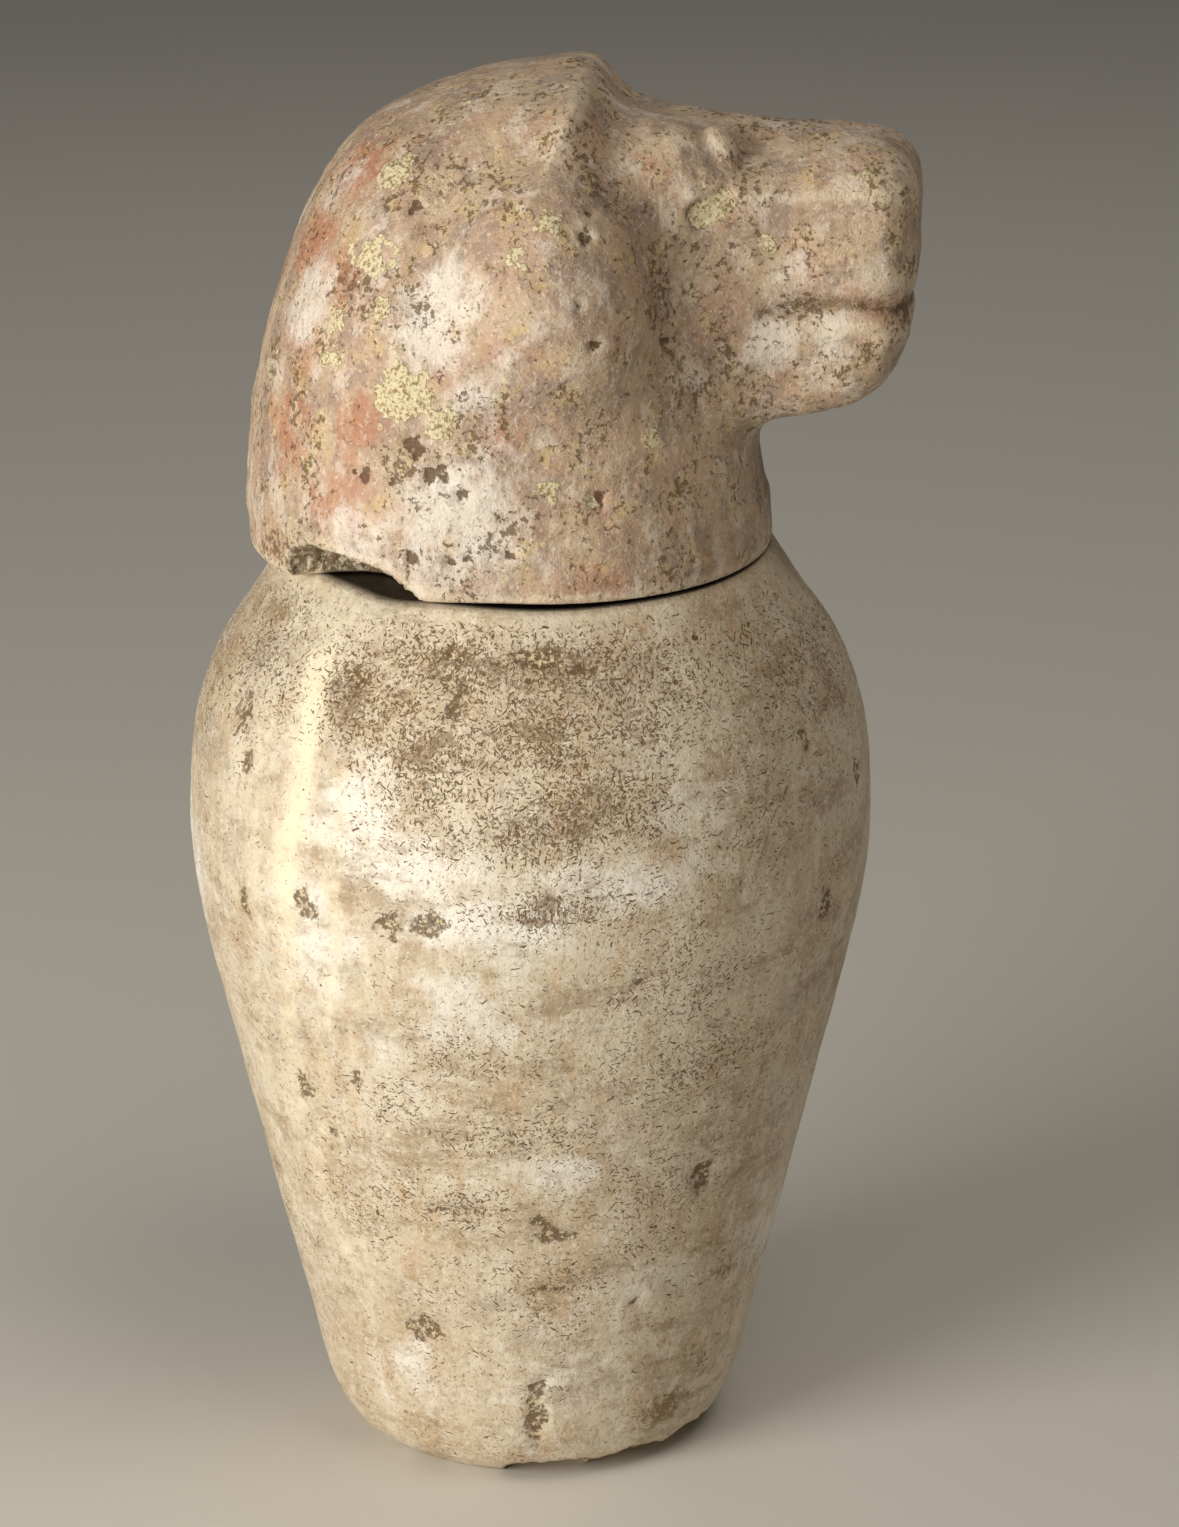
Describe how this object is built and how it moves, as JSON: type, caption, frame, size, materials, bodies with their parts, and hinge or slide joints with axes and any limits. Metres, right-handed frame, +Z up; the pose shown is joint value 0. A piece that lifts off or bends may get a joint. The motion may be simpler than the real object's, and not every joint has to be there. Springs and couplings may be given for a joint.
{
  "type": "canopic jar",
  "caption": "Hollow tapered stone jar for funerary use, with a lift-off lid carved as the head of a baboon.",
  "frame": {"origin": "centre of the flat underside of the jar, on the jar's axis", "axes": "+Z up along the jar's axis, the baboon's muzzle points along -Y, its right side is -X"},
  "size_m": [0.1642, 0.1748, 0.3425],
  "materials": {
    "jar_stone": "worn satin calcite, pale cream with vertical bands, brown dirt and tool marks",
    "lid_stone": "worn satin calcite, pinkish beige with red-orange stains, white patches and pale yellow crusts"
  },
  "bodies": {
    "root": {"jar_body": "jar_stone", "baboon_head_lid": "lid_stone"}
  },
  "joints": []
}
